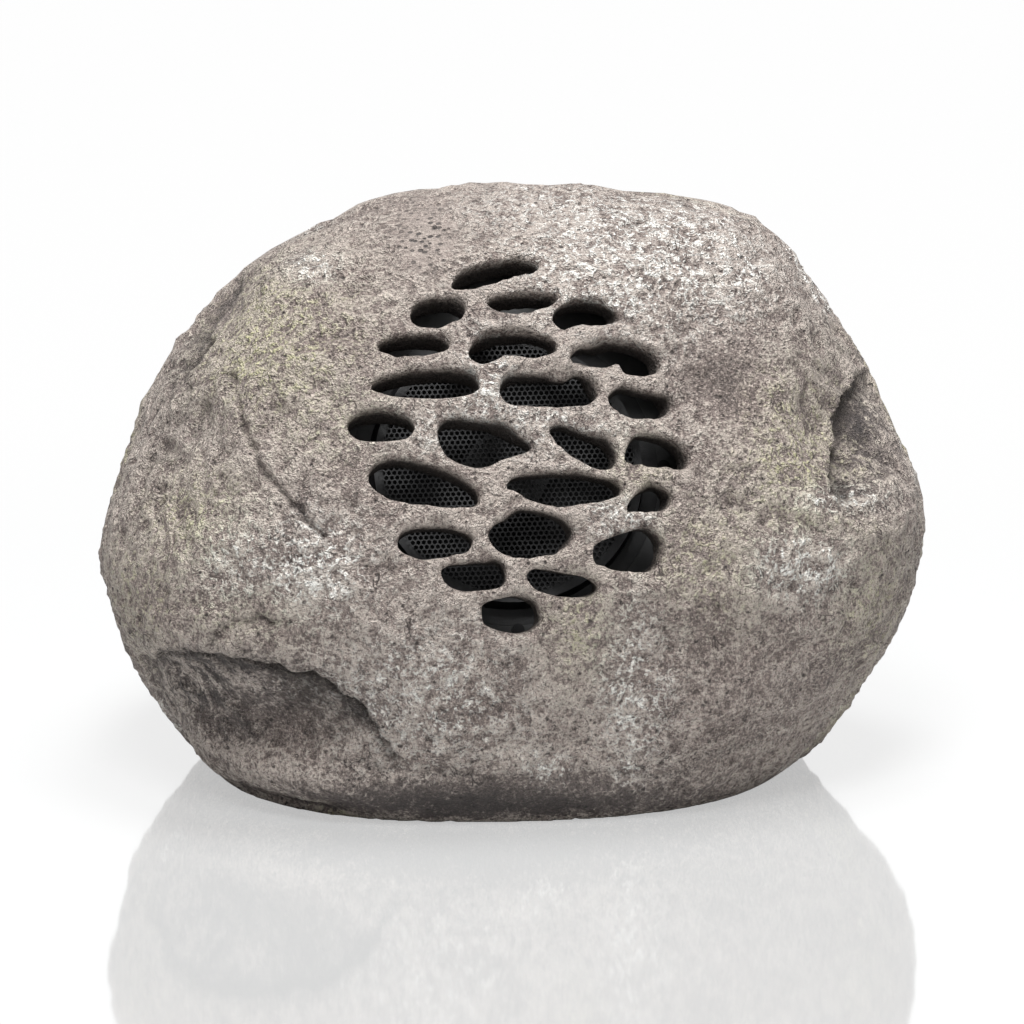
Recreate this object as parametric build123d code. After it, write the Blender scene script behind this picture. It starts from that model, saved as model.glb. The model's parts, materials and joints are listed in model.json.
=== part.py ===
from build123d import *
import math
import os

# Rock shaped garden speaker. Millimetres, +Z up, front towards -Y, origin under the middle of its box.

# Rock: a hollow cast boulder that stands on the rim of its open foot
rock_width = 400
rock_depth = 302
rock_height = 279
wall = 10
rim_width = 10
ledge_width = 16
ledge_thickness = 6
squareness = 2.3
section_points = 40
foot_sides = 60
core_sides = 24
core_shares = [0.2, 0.35, 0.5, 0.65, 0.78, 0.88, 0.95, 0.985]

# Table of offsets: share of the height, the reach to the left, right, front and back, and the line of
# the front ridge, as shares of half the width or half the depth
rock_offsets = [
    (0.000, 0.735, 0.655, 0.82, 0.73, -0.10),
    (0.050, 0.795, 0.740, 0.89, 0.82, -0.15),
    (0.115, 0.862, 0.812, 0.94, 0.88, -0.19),
    (0.180, 0.918, 0.882, 0.965, 0.93, -0.225),
    (0.240, 0.957, 0.936, 0.975, 0.965, -0.25),
    (0.300, 0.985, 0.970, 0.98, 0.983, -0.27),
    (0.370, 1.002, 0.988, 0.975, 0.984, -0.28),
    (0.475, 0.970, 0.986, 0.935, 0.970, -0.28),
    (0.600, 0.910, 0.915, 0.83, 0.96, -0.25),
    (0.710, 0.835, 0.820, 0.715, 0.90, -0.20),
    (0.800, 0.735, 0.750, 0.595, 0.82, -0.12),
    (0.875, 0.615, 0.675, 0.465, 0.72, -0.04),
    (0.933, 0.475, 0.590, 0.33, 0.60, 0.03),
    (0.968, 0.335, 0.455, 0.19, 0.47, 0.06),
    (0.990, 0.150, 0.290, 0.05, 0.32, 0.07),
    (1.000, 0.020, 0.140, -0.08, 0.18, 0.07),
]

# Swellings, brows and dips: heading, share of the height, spread in heading and in height, depth
rock_swells = [
    (240, 0.18, 20, 0.07, -16),
    (218, 0.20, 14, 0.07, -6),
    (234, 0.30, 18, 0.045, 5),
    (240, 0.40, 24, 0.08, 4),
    (243, 0.05, 16, 0.04, 3),
    (275, 0.27, 14, 0.08, 4),
    (300, 0.18, 12, 0.07, -4),
    (320, 0.42, 16, 0.12, 5),
    (342, 0.59, 9, 0.08, -13),
    (342, 0.475, 10, 0.05, 5),
    (331, 0.60, 8, 0.09, 4),
    (326, 0.74, 12, 0.08, -6),
    (340, 0.86, 14, 0.06, 4),
    (318, 0.20, 12, 0.07, 3),
    (236, 0.75, 10, 0.12, 5),
    (219, 0.60, 9, 0.10, -5),
    (200, 0.47, 12, 0.10, 4),
    (194, 0.79, 13, 0.06, -10),
    (205, 0.90, 14, 0.04, 4),
    (176, 0.62, 12, 0.08, 4),
    (165, 0.45, 12, 0.10, -6),
    (160, 0.22, 12, 0.09, 5),
    (140, 0.58, 12, 0.10, 5),
    (135, 0.78, 16, 0.09, 5),
    (125, 0.38, 12, 0.10, -5),
    (112, 0.18, 12, 0.08, -6),
    (108, 0.62, 12, 0.10, -5),
    (85, 0.78, 15, 0.09, -6),
    (84, 0.48, 12, 0.10, 5),
    (60, 0.65, 14, 0.11, 6),
    (58, 0.30, 14, 0.10, -5),
    (34, 0.47, 12, 0.10, 5),
    (30, 0.24, 13, 0.09, -6),
    (28, 0.78, 12, 0.09, -4),
    (8, 0.33, 10, 0.09, 4),
    (5, 0.70, 10, 0.08, 3),
]

# Places where the wall is thicker inside: heading, share of the height, spread in both, extra thickness
core_pads = [
    (280, 0.63, 40, 0.35, 7),
    (240, 0.19, 32, 0.16, 11),
    (341, 0.58, 20, 0.16, 10),
]

# Sound slots, course by course from the top: across, height, length, width, tilt, taper, bow.
# A taper above nought is fatter at the right end, and a bow above nought arches upwards.
sound_slots = [
    (-9, 251, 44, 14, 9, 0.0, 0.0),
    (-35, 236, 29, 16, 6, -0.1, 1.0),
    (5, 240, 34, 12, 6, 0.1, 0.0),
    (33, 234, 28, 17, 4, 0.0, 0.0),
    (-48, 222, 34, 12, 6, 0.1, 0.0),
    (-2, 222, 40, 17, 1, 0.0, 0.0),
    (48, 216, 46, 17, -9, 0.1, 1.0),
    (-41, 206, 52, 15, 2, 0.3, 0.5),
    (19, 203, 51, 17, -5, -0.1, 2.0),
    (61, 196, 29, 16, -5, -0.1, 0.0),
    (-61, 188, 33, 15, -3, 0.0, -1.0),
    (-14, 182, 42, 22, -9, -0.3, 0.0),
    (32, 180, 31, 16, -17, 0.0, 0.0),
    (68, 174, 34, 16, -14, 0.1, 1.5),
    (-41, 163, 53, 20, -12, -0.2, 1.0),
    (24, 161, 55, 15, 1, 0.0, 0.0),
    (64, 155, 22, 14, -1, -0.1, 0.0),
    (10, 141, 43, 19, 5, 0.0, -1.5),
    (-36, 139, 36, 15, 7, 0.1, -0.5),
    (53, 133, 35, 20, 12, 0.5, 0.0),
    (-17, 124, 32, 14, 3, -0.1, 0.0),
    (24, 120, 33, 13, -1, 0.0, 0.0),
    (-1, 106, 28, 17, -4, 0.0, 0.0),
]
fan_focus = Vector(-70, 110, 30)
slot_draft = 2.0
slot_roundness = 0.8
slot_points = 12
slot_reach = 40

# Base plate that closes the foot, with its seal and screws
base_recess = 6
base_thickness = 4
seal_thickness = 2
plate_clearance = 0.8
base_screw_count = 6
base_screw_size = 4
base_screw_length = 11
rib_height = 3
rib_width = 3
rib_spacing = 60

# Cable gland low in the back
gland_height = 36
gland_across = 0
gland_recess = 6
gland_recess_diameter = 36
gland_pad_thickness = 12
gland_pad_diameter = 34
gland_thread = 16
gland_across_flats = 22
gland_washer_thickness = 1.5
gland_hex_thickness = 7
gland_nut_thickness = 5
gland_spigot_diameter = 14
gland_spigot_length = 6
gland_thread_spare = 2
gland_seal_thickness = 2
gland_cap_nose = 5
gland_cap_wall = 3
cable_bore = 7
gland_bore_spare = 1

# Driver: where it faces, and how far its baffle stands behind the rock's face
driver_across = 4
driver_height = 178
driver_yaw = 10
driver_elevation = 25
baffle_standoff = 50

# Baffle ring on four bosses cast into the rock
baffle_diameter = 204
baffle_opening = 143
baffle_thickness = 6
baffle_boss_circle = 188
baffle_boss_diameter = 14
baffle_screw_size = 4
baffle_screw_length = 14

# Perforated guard over the cone
guard_diameter = 147
guard_sheet = 1
guard_dish_diameter = 130
guard_dish_height = 9
guard_draft = 12
guard_hole = 10
guard_pitch = 13
guard_rings = 4
guard_screw_size = 3
guard_screw_length = 5
guard_screw_gap = 1.8

# Basket and gasket
gasket_thickness = 3
gasket_width = 6
flange_diameter = 166
basket_sheet = 1.6
basket_wall_gap = 1
basket_depth = 44
basket_throat_diameter = 94
spider_depth = 32
basket_neck_diameter = 82
basket_hole_diameter = 36
basket_legs = 4
leg_angle = 28
window_margin = 5
driver_screw_circle = 157
driver_screw_size = 4
driver_screw_length = 8

# Cone, surround, spider and voice coil
cone_diameter = 120
cone_depth = 26
cone_paper = 0.8
cone_curve = 0.6
surround_width = 10.5
surround_sheet = 0.8
surround_land = 4.5
roll_sides = 8
spider_sheet = 0.6
spider_waves = 3
spider_wave_height = 2
spider_collar = 2
coil_former_bore = 25.6
coil_former_wall = 0.3
coil_winding = 0.5
coil_length = 12
former_tail = 1
former_rise = 2
joint_gap = 0.3

# Magnet system
top_plate_diameter = 85
top_plate_thickness = 5
plate_bore = 28
magnet_diameter = 90
magnet_bore = 44
magnet_thickness = 15
back_plate_thickness = 6
pole_diameter = 24.4

# Tweeter on a stem from the pole
stem_diameter = 10
stem_stud_diameter = 6
stem_stud_length = 18
tweeter_diameter = 40
tweeter_length = 14
tweeter_front = 0
tweeter_dome_diameter = 25
tweeter_dome_height = 3.5
tweeter_recess = 2
tweeter_flange = 0.8
dome_sides = 4

# Tag strip on the basket and the leads to it
tag_strip_width = 24
tag_strip_length = 14
tag_strip_thickness = 1.6
tag_spacing = 12
tag_width = 3
tag_length = 8
tag_thickness = 0.8
lead_diameter = 2.4
lead_bend = 12
lead_drop = 26
lead_rise = 26
lead_across = -18
lead_front = -24

# Crossover board on the base plate
board_length = 90
board_width = 60
board_thickness = 1.6
board_across = 0
board_back = 34
standoff_height = 8
standoff_diameter = 8
board_inset = 6
board_screw_size = 3
board_screw_length = 7
inductor_diameter = 32
inductor_bore = 14
inductor_height = 18
inductor_place = (-20, -2)
capacitor_diameter = 16
capacitor_length = 30
capacitor_place = (20, 4)
resistor_length = 24
resistor_width = 9
resistor_place = (20, -14)
terminal_length = 30
terminal_width = 11
terminal_height = 13
terminal_ways = 4
terminal_hole = 4
terminal_wire_height = 4
terminal_place = (0, 22)

# Screw heads as shares of the screw's size
head_width = 2.0
head_height = 0.6

# Fits
hole_clearance = 0.1
search_step = 0.01
half_width = rock_width / 2
half_depth = rock_depth / 2


# Form of the rock

def offsets_at(share):
    low_rows = rock_offsets[:-1]
    high_rows = rock_offsets[1:]
    for low, high in zip(low_rows, high_rows):
        if share <= high[0]:
            part = (share - low[0]) / (high[0] - low[0])
            return [a + (b - a) * part for a, b in zip(low[1:], high[1:])]
    return rock_offsets[-1][1:]


def section_center(share):
    _, _, front, back, ridge = offsets_at(share)
    return ridge * half_width, (back - front) / 2 * half_depth


def swell_sum(swells, heading, share):
    total = 0.0
    for swell_heading, swell_share, spread, share_spread, swell in swells:
        turn = (heading - swell_heading + 180) % 360 - 180
        total += swell * math.exp(-((turn / spread) ** 2) - ((share - swell_share) / share_spread) ** 2)
    return total


def rock_reach(heading, share):
    left, right, front, back, ridge = offsets_at(share)
    c = math.cos(math.radians(heading))
    s = math.sin(math.radians(heading))
    side = (right - ridge) * half_width if c > 0 else (left + ridge) * half_width
    depth = (back + front) / 2 * half_depth
    reach = (abs(c / side) ** squareness + abs(s / depth) ** squareness) ** (-1 / squareness)
    return reach + swell_sum(rock_swells, heading, share)


def section_point(heading, share, inset):
    across, back = section_center(share)
    reach = rock_reach(heading, share) - inset
    return (
        across + reach * math.cos(math.radians(heading)),
        back + reach * math.sin(math.radians(heading)),
    )


def outline(share, inset, height):
    turns = [360 * i / section_points for i in range(section_points)]
    points = [section_point(turn, share, inset) for turn in turns]
    return Pos(0, 0, height) * make_face(Spline(*points, periodic=True))


def foot_outline(inset, height):
    turns = [360 * i / foot_sides for i in range(foot_sides)]
    points = [section_point(turn, 0, inset) for turn in turns]
    return Pos(0, 0, height) * make_face(Polyline(*points, close=True))


def rock_body(inset):
    height = rock_height - inset
    shares = [row[0] for row in rock_offsets]
    return loft([outline(share, inset, share * height) for share in shares])


def face_distance(start, direction, inset):
    """How far a point travels along a direction before it leaves the rock's face, less an inset."""
    near = 0.0
    far = rock_width
    while far - near > search_step:
        middle = (near + far) / 2
        point = start + direction * middle
        share = point.Z / (rock_height - inset)
        across, back = section_center(min(max(share, 0), 1))
        heading = math.degrees(math.atan2(point.Y - back, point.X - across))
        reach = rock_reach(heading, min(max(share, 0), 1)) - inset
        inside = 0 <= share <= 1 and math.hypot(point.X - across, point.Y - back) < reach
        near = middle if inside else near
        far = far if inside else middle
    return near


def face_point(across, height, direction):
    start = Vector(across, section_center(height / rock_height)[1], height)
    return start + direction * face_distance(start, direction, 0)


front = Vector(0, -1, 0)
back = Vector(0, 1, 0)
right = Vector(1, 0, 0)


# Heights and planes that the sub-parts share

base_top = base_recess + base_thickness
seat_height = base_top + seal_thickness
ledge_top = seat_height + ledge_thickness

driver_axis = front.rotate(Axis.X, -driver_elevation).rotate(Axis.Z, driver_yaw)
driver_plane = Plane(
    origin=face_point(driver_across, driver_height, front) - driver_axis * baffle_standoff,
    x_dir=right.rotate(Axis.Z, driver_yaw),
    z_dir=driver_axis,
)
guard_screw_circle = guard_diameter + guard_screw_gap + guard_screw_size
flange_front = -baffle_thickness - gasket_thickness
flange_back = flange_front - basket_sheet
spider_seat = flange_front - spider_depth
plate_front = flange_front - basket_depth
magnet_front = plate_front - top_plate_thickness
back_plate_front = magnet_front - magnet_thickness
back_plate_back = back_plate_front - back_plate_thickness
former_radius = coil_former_bore / 2 + coil_former_wall
cone_edge = flange_front - joint_gap
cone_neck = cone_edge - cone_depth
basket_wall_radius = cone_diameter / 2 + surround_width + basket_wall_gap
tweeter_back = tweeter_front - tweeter_length

gland_plane = Plane(
    origin=face_point(gland_across, gland_height, back) - back * gland_recess,
    x_dir=-right,
    z_dir=back,
)
gland_hex_top = gland_washer_thickness + gland_hex_thickness
gland_spigot_top = gland_hex_top + gland_spigot_length
gland_seal_top = gland_spigot_top + gland_seal_thickness
gland_thread_end = -gland_pad_thickness - gland_nut_thickness - gland_thread_spare
board_plane = Plane(origin=(board_across, board_back, base_top + standoff_height))


# Shared shapes

def rod(diameter, bottom, top):
    return Pos(0, 0, bottom) * extrude(Circle(diameter / 2), top - bottom)


def ring(outer, inner, bottom, top):
    return Pos(0, 0, bottom) * extrude(Circle(outer / 2) - Circle(inner / 2), top - bottom)


def turned(*points):
    """A profile of radius and height, turned about Z."""
    return revolve(Plane.XZ * make_face(Polyline(*points, close=True)), Axis.Z)


def hexagon(across_flats):
    return RegularPolygon(across_flats / 2, 6, major_radius=False)


def screws(places, size, length):
    """Pan head screws, each with the underside of its head at its place and its shank behind that."""
    screw = rod(head_width * size, 0, head_height * size) + rod(size, -length, 0)
    return [place * screw for place in places]


def drilled(part, places, size, length):
    hole = rod(size + 2 * hole_clearance, -length - hole_clearance, 0)
    return part - [place * hole for place in places]


# Screw places, with the heads towards +Z of each place

turned_over = Rot(180, 0, 0)


def driver_circle(count, diameter, start_angle, face):
    places = PolarLocations(diameter / 2, count, start_angle)
    return [driver_plane.location * place * face for place in places]


baffle_screw_places = driver_circle(4, baffle_boss_circle, 45, Pos(0, 0, -baffle_thickness) * turned_over)
guard_screw_places = driver_circle(4, guard_screw_circle, 0, Pos(0, 0, 0))
driver_screw_places = driver_circle(4, driver_screw_circle, 45, Pos(0, 0, flange_back) * turned_over)
board_screw_places = [
    board_plane.location * place * Pos(0, 0, board_thickness)
    for place in GridLocations(board_length - 2 * board_inset, board_width - 2 * board_inset, 2, 2)
]
base_screw_places = []
for i in range(base_screw_count):
    screw_heading = 360 * (i + 0.5) / base_screw_count
    screw_x, screw_y = section_point(screw_heading, 0, rim_width + ledge_width / 2)
    base_screw_places.append(Pos(screw_x, screw_y, base_recess) * turned_over)


# Rock shell

def slot_section(length, width, tilt, taper, bow):
    points = []
    for i in range(slot_points):
        c = math.cos(2 * math.pi * i / slot_points)
        s = math.sin(2 * math.pi * i / slot_points)
        along = length / 2 * math.copysign(abs(c) ** slot_roundness, c)
        up = width / 2 * s * (1 + taper * c) + bow * (0.5 - c * c)
        points.append((along, up))
    return Rot(0, 0, tilt) * make_face(Spline(*points, periodic=True))


def sound_slot(across, height, length, width, tilt, taper, bow):
    mouth = face_point(across, height, front)
    axis = (mouth - fan_focus).normalized()
    plane = Plane(origin=mouth, x_dir=Vector(0, 0, 1).cross(axis), z_dir=axis)
    outer = slot_section(length + slot_draft, width + slot_draft, tilt, taper, bow)
    inner = slot_section(length - slot_draft, width - slot_draft, tilt, taper, bow)
    return plane * loft([Pos(0, 0, -slot_reach) * inner, Pos(0, 0, slot_reach) * outer], ruled=True)


def core():
    """The hollow of the rock: a faceted form that follows its face, further in at the thicker places."""
    height = rock_height - wall
    sections = []
    for share in [ledge_top / height] + core_shares:
        points = []
        for i in range(core_sides):
            heading = 360 * i / core_sides
            inset = wall + swell_sum(core_pads, heading, share)
            points.append(section_point(heading, share, inset))
        sections.append(Pos(0, 0, share * height) * make_face(Polyline(*points, close=True)))
    return loft(sections, ruled=True)


def rock_shell():
    shell = rock_body(0) - core()
    shell -= extrude(foot_outline(rim_width, 0), seat_height)
    shell -= extrude(foot_outline(rim_width + ledge_width, 0), ledge_top + ledge_thickness)
    boss = rod(baffle_boss_diameter, 0, rock_depth / 2)
    bosses = driver_circle(4, baffle_boss_circle, 45, boss)
    pad = gland_plane.location * rod(gland_pad_diameter, -gland_pad_thickness, gland_recess)
    inside = rock_body(wall / 2)
    for piece in bosses + [pad]:
        shell += piece & inside
    shell -= [sound_slot(*slot) for slot in sound_slots]
    shell -= gland_plane.location * rod(gland_recess_diameter, 0, rock_depth)
    shell -= gland_plane.location * rod(gland_thread + 2 * hole_clearance, gland_thread_end, 0)
    shell = drilled(shell, baffle_screw_places, baffle_screw_size, baffle_screw_length)
    return drilled(shell, base_screw_places, base_screw_size, base_screw_length)


# Base

def base_plate():
    plate = extrude(foot_outline(rim_width + plate_clearance, base_recess), base_thickness)
    rib_low = base_recess - rib_height
    rib_area = extrude(foot_outline(rim_width + ledge_width + rib_width, rib_low), rib_height)
    for i in (-1, 0, 1):
        rib = Pos(i * rib_spacing, 0, rib_low + rib_height / 2) * Box(rib_width, rock_depth, rib_height)
        plate += rib & rib_area
    for place in board_screw_places:
        plate += place * rod(standoff_diameter, -board_thickness - standoff_height, -board_thickness)
    plate = drilled(plate, board_screw_places, board_screw_size, board_screw_length)
    return drilled(plate, base_screw_places, base_screw_size, base_screw_length)


def base_seal():
    outer = foot_outline(rim_width + plate_clearance, base_top)
    inner = foot_outline(rim_width + ledge_width - plate_clearance, base_top)
    seal = extrude(outer, seal_thickness) - extrude(inner, seal_thickness)
    return drilled(seal, base_screw_places, base_screw_size, base_screw_length)


# Cable gland

def gland_washer():
    return ring(gland_across_flats, gland_thread + 2 * hole_clearance, 0, gland_washer_thickness)


def gland_body():
    body = Pos(0, 0, gland_washer_thickness) * extrude(hexagon(gland_across_flats), gland_hex_thickness)
    body += rod(gland_thread, gland_thread_end, gland_washer_thickness)
    body += rod(gland_spigot_diameter, gland_hex_top, gland_spigot_top)
    body -= rod(cable_bore, gland_hex_top, gland_spigot_top)
    return body - rod(cable_bore + gland_bore_spare, gland_thread_end, gland_hex_top)


def gland_nut():
    nut = extrude(hexagon(gland_across_flats), gland_nut_thickness)
    nut -= rod(gland_thread + 2 * hole_clearance, 0, gland_nut_thickness)
    return Pos(0, 0, -gland_pad_thickness - gland_nut_thickness) * nut


def gland_seal():
    return ring(gland_spigot_diameter, cable_bore, gland_spigot_top, gland_seal_top)


def gland_cap():
    top = gland_seal_top + gland_cap_nose
    cap = Pos(0, 0, gland_hex_top) * extrude(hexagon(gland_across_flats), gland_seal_top - gland_hex_top)
    nose = rod(gland_across_flats, gland_seal_top, top)
    cap += chamfer(nose.edges().group_by(Axis.Z)[-1], gland_cap_wall)
    cap -= rod(gland_spigot_diameter + 2 * hole_clearance, gland_hex_top, gland_seal_top)
    return cap - rod(cable_bore, gland_hex_top, top)


# Baffle, guard and gasket

def baffle_ring():
    baffle = ring(baffle_diameter, baffle_opening, -baffle_thickness, 0)
    baffle -= rod(guard_diameter + 2 * hole_clearance, -guard_sheet, 0)
    baffle = driver_plane.location * baffle
    baffle = drilled(baffle, baffle_screw_places, baffle_screw_size, baffle_screw_length)
    baffle = drilled(baffle, guard_screw_places, guard_screw_size, guard_screw_length)
    return drilled(baffle, driver_screw_places, driver_screw_size, driver_screw_length)


def driver_guard():
    rim = guard_diameter / 2
    foot = guard_dish_diameter / 2
    crown = foot - guard_dish_height * math.tan(math.radians(guard_draft))
    guard = turned(
        (rim, -guard_sheet), (rim, 0), (foot + guard_sheet, 0), (crown + guard_sheet, guard_dish_height),
        (0, guard_dish_height), (0, guard_dish_height - guard_sheet),
        (crown, guard_dish_height - guard_sheet), (foot, -guard_sheet),
    )
    holes = Sketch()
    for q in range(-guard_rings, guard_rings + 1):
        for r in range(max(-guard_rings, -q - guard_rings), min(guard_rings, guard_rings - q) + 1):
            place = Pos(guard_pitch * (q + r / 2), guard_pitch * r * math.sqrt(3) / 2)
            holes += place * Rot(0, 0, 30) * hexagon(guard_hole)
    guard -= extrude(holes, guard_dish_height)
    return driver_plane.location * guard


def driver_gasket():
    gasket = ring(flange_diameter, flange_diameter - 2 * gasket_width, flange_front, -baffle_thickness)
    gasket = driver_plane.location * gasket
    return drilled(gasket, driver_screw_places, driver_screw_size, driver_screw_length)


# Woofer

def driver_basket():
    flange = flange_diameter / 2
    throat = basket_throat_diameter / 2
    neck = basket_neck_diameter / 2
    hole = basket_hole_diameter / 2
    lean = (basket_wall_radius - throat) / spider_depth
    slant = basket_sheet * math.hypot(1, lean)
    basket = turned(
        (flange, flange_front), (basket_wall_radius, flange_front), (throat, spider_seat),
        (neck, spider_seat), (neck, plate_front + basket_sheet),
        (hole, plate_front + basket_sheet), (hole, plate_front),
        (neck + basket_sheet, plate_front), (neck + basket_sheet, spider_seat - basket_sheet),
        (throat + slant - lean * basket_sheet, spider_seat - basket_sheet),
        (basket_wall_radius + slant - lean * basket_sheet, flange_back), (flange, flange_back),
    )
    low = spider_seat + window_margin
    high = flange_back - window_margin
    window_edge = Polyline((neck, low), (flange, low), (flange, high), (neck, high), close=True)
    window_turn = 360 / basket_legs - leg_angle
    window = revolve(Plane.XZ * make_face(window_edge), Axis.Z, revolution_arc=window_turn)
    for i in range(basket_legs):
        basket -= Rot(0, 0, 360 / basket_legs * i + leg_angle / 2) * window
    basket = driver_plane.location * basket
    return drilled(basket, driver_screw_places, driver_screw_size, driver_screw_length)


def woofer_surround():
    """A half roll of rubber with a flat lip inside and a flat land outside."""
    middle = cone_diameter / 2 + surround_width / 2
    outer = surround_width / 2
    inner = outer - surround_sheet
    top = flange_front + surround_sheet
    rise = math.degrees(math.asin(surround_sheet / outer))
    over = [(middle + outer + surround_land, flange_front), (middle + outer + surround_land, top)]
    under = [(middle - outer - surround_land, top), (middle - outer - surround_land, flange_front)]
    for i in range(roll_sides + 1):
        turn = math.radians(rise + (180 - 2 * rise) * i / roll_sides)
        over.append((middle + outer * math.cos(turn), flange_front + outer * math.sin(turn)))
        back_turn = math.radians(180 - 180 * i / roll_sides)
        under.append((middle + inner * math.cos(back_turn), flange_front + inner * math.sin(back_turn)))
    return driver_plane.location * turned(*over, *under)


def woofer_cone():
    rim = cone_diameter / 2
    edge = rim - surround_land
    waist = (edge + former_radius) / 2
    waist_height = cone_edge - cone_depth * cone_curve
    neck = former_radius + hole_clearance
    cone = turned(
        (rim, cone_edge), (edge, cone_edge), (waist, waist_height), (neck, cone_neck),
        (neck, cone_neck - 2 * cone_paper), (waist, waist_height - cone_paper),
        (edge, cone_edge - cone_paper), (rim, cone_edge - cone_paper),
    )
    return driver_plane.location * cone


def voice_coil():
    middle = plate_front - top_plate_thickness / 2
    winding_low = middle - coil_length / 2
    winding_radius = former_radius + coil_winding
    coil = ring(2 * former_radius, coil_former_bore, winding_low - former_tail, cone_neck + former_rise)
    coil += ring(2 * winding_radius, coil_former_bore, winding_low, winding_low + coil_length)
    return driver_plane.location * coil


def spider():
    outer = basket_throat_diameter / 2 - joint_gap
    land = basket_neck_diameter / 2
    inner = former_radius + joint_gap
    top = [(outer, spider_seat + spider_sheet)]
    for i in range(2 * spider_waves + 1):
        radius = land + (inner + spider_collar - land) * i / (2 * spider_waves)
        top.append((radius, spider_seat + spider_sheet + spider_wave_height * (i % 2)))
    top.append((inner, spider_seat + spider_sheet))
    bottom = [(radius, height - spider_sheet) for radius, height in reversed(top)]
    return driver_plane.location * turned(*top, *bottom)


def top_plate():
    return driver_plane.location * ring(top_plate_diameter, plate_bore, magnet_front, plate_front)


def ring_magnet():
    return driver_plane.location * ring(magnet_diameter, magnet_bore, back_plate_front, magnet_front)


def back_plate():
    yoke = rod(top_plate_diameter, back_plate_back, back_plate_front)
    yoke += rod(pole_diameter, back_plate_front, plate_front)
    stud_hole = stem_stud_diameter + 2 * hole_clearance
    yoke -= rod(stud_hole, plate_front - stem_stud_length - hole_clearance, plate_front)
    return driver_plane.location * yoke


# Tweeter

def tweeter_stem():
    stem = rod(stem_diameter, plate_front, tweeter_back)
    stem += rod(stem_stud_diameter, plate_front - stem_stud_length, plate_front)
    return driver_plane.location * stem


def tweeter_housing():
    housing = rod(tweeter_diameter, tweeter_back, tweeter_front)
    housing = chamfer(housing.edges().group_by(Axis.Z)[0], tweeter_recess)
    recess = rod(tweeter_diameter - 2 * tweeter_recess, tweeter_front - tweeter_recess, tweeter_front)
    return driver_plane.location * (housing - recess)


def tweeter_dome():
    seat = tweeter_front - tweeter_recess
    flange = tweeter_diameter / 2 - tweeter_recess - hole_clearance
    radius = tweeter_dome_diameter / 2
    ball = (radius**2 + tweeter_dome_height**2) / (2 * tweeter_dome_height)
    profile = [(0, seat), (flange, seat), (flange, seat + tweeter_flange)]
    for i in range(dome_sides + 1):
        across = radius * (dome_sides - i) / dome_sides
        drop = ball - math.sqrt(ball**2 - across**2)
        profile.append((across, seat + tweeter_flange + tweeter_dome_height - drop))
    return driver_plane.location * turned(*profile)


# Tag strip, its tags and the leads down to the board

def tag_strip_plane():
    """On the lowest leg of the basket, facing out and down."""
    throat = basket_throat_diameter / 2
    lean = math.atan2(basket_wall_radius - throat, spider_depth)
    radius = (basket_wall_radius + throat) / 2 + basket_sheet / math.cos(lean) + joint_gap
    height = (flange_front + spider_seat) / 2 - basket_sheet / 2
    facing = Vector(0, -math.cos(lean), -math.sin(lean))
    on_driver = Plane(origin=(0, -radius, height), x_dir=(1, 0, 0), z_dir=facing)
    return Plane(driver_plane.location * on_driver.location)


def tag_places():
    strip = tag_strip_plane().location
    return [strip * Pos(side * tag_spacing / 2, 0, tag_strip_thickness) for side in (-1, 1)]


def tag_strip():
    return tag_strip_plane().location * Pos(0, 0, tag_strip_thickness / 2) * Box(
        tag_strip_width, tag_strip_length, tag_strip_thickness
    )


def solder_tags():
    foot = Pos(0, 0, tag_thickness / 2) * Box(tag_width, tag_strip_length - 2 * tag_width, tag_thickness)
    blade = Pos(0, 0, tag_length / 2) * Box(tag_width, tag_thickness, tag_length)
    return [place * (foot + blade) for place in tag_places()]


def driver_leads():
    leads = []
    for place, side in zip(tag_places(), (-1, 1)):
        start = (place * Pos(0, 0, tag_length + joint_gap)).position
        out = (place * Pos(0, 0, tag_length + lead_drop)).position
        lead_foot = (lead_across + side * tag_spacing / 2, lead_front, board_thickness)
        landing = board_plane.from_local_coords(lead_foot)
        above = landing + Vector(0, 0, lead_rise)
        path = FilletPolyline(start, out, above, landing, radius=lead_bend)
        leads.append(sweep(Plane(start, z_dir=path % 0) * Circle(lead_diameter / 2), path))
    return leads


# Crossover

def crossover_board():
    board = Pos(0, 0, board_thickness / 2) * Box(board_length, board_width, board_thickness)
    board = board_plane.location * board
    return drilled(board, board_screw_places, board_screw_size, board_screw_length)


def on_board(across, deep, part):
    return board_plane.location * Pos(across, deep, board_thickness) * part


def crossover_inductor():
    return on_board(*inductor_place, ring(inductor_diameter, inductor_bore, 0, inductor_height))


def crossover_capacitor():
    can = rod(capacitor_diameter, -capacitor_length / 2, capacitor_length / 2)
    return on_board(*capacitor_place, Pos(0, 0, capacitor_diameter / 2) * Rot(0, 90, 0) * can)


def crossover_resistor():
    body = Pos(0, 0, resistor_width / 2) * Box(resistor_length, resistor_width, resistor_width)
    return on_board(*resistor_place, body)


def terminal_block():
    block = Pos(0, 0, terminal_height / 2) * Box(terminal_length, terminal_width, terminal_height)
    for place in GridLocations(terminal_length / terminal_ways, 0, terminal_ways, 1):
        block -= place * rod(terminal_hole, terminal_height - terminal_hole, terminal_height)
        wire_way = Rot(90, 0, 0) * rod(terminal_hole, -terminal_width / 2, 0)
        block -= place * Pos(0, 0, terminal_wire_height) * wire_way
    return on_board(*terminal_place, block)


def at_gland(part):
    return gland_plane.location * part


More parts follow.
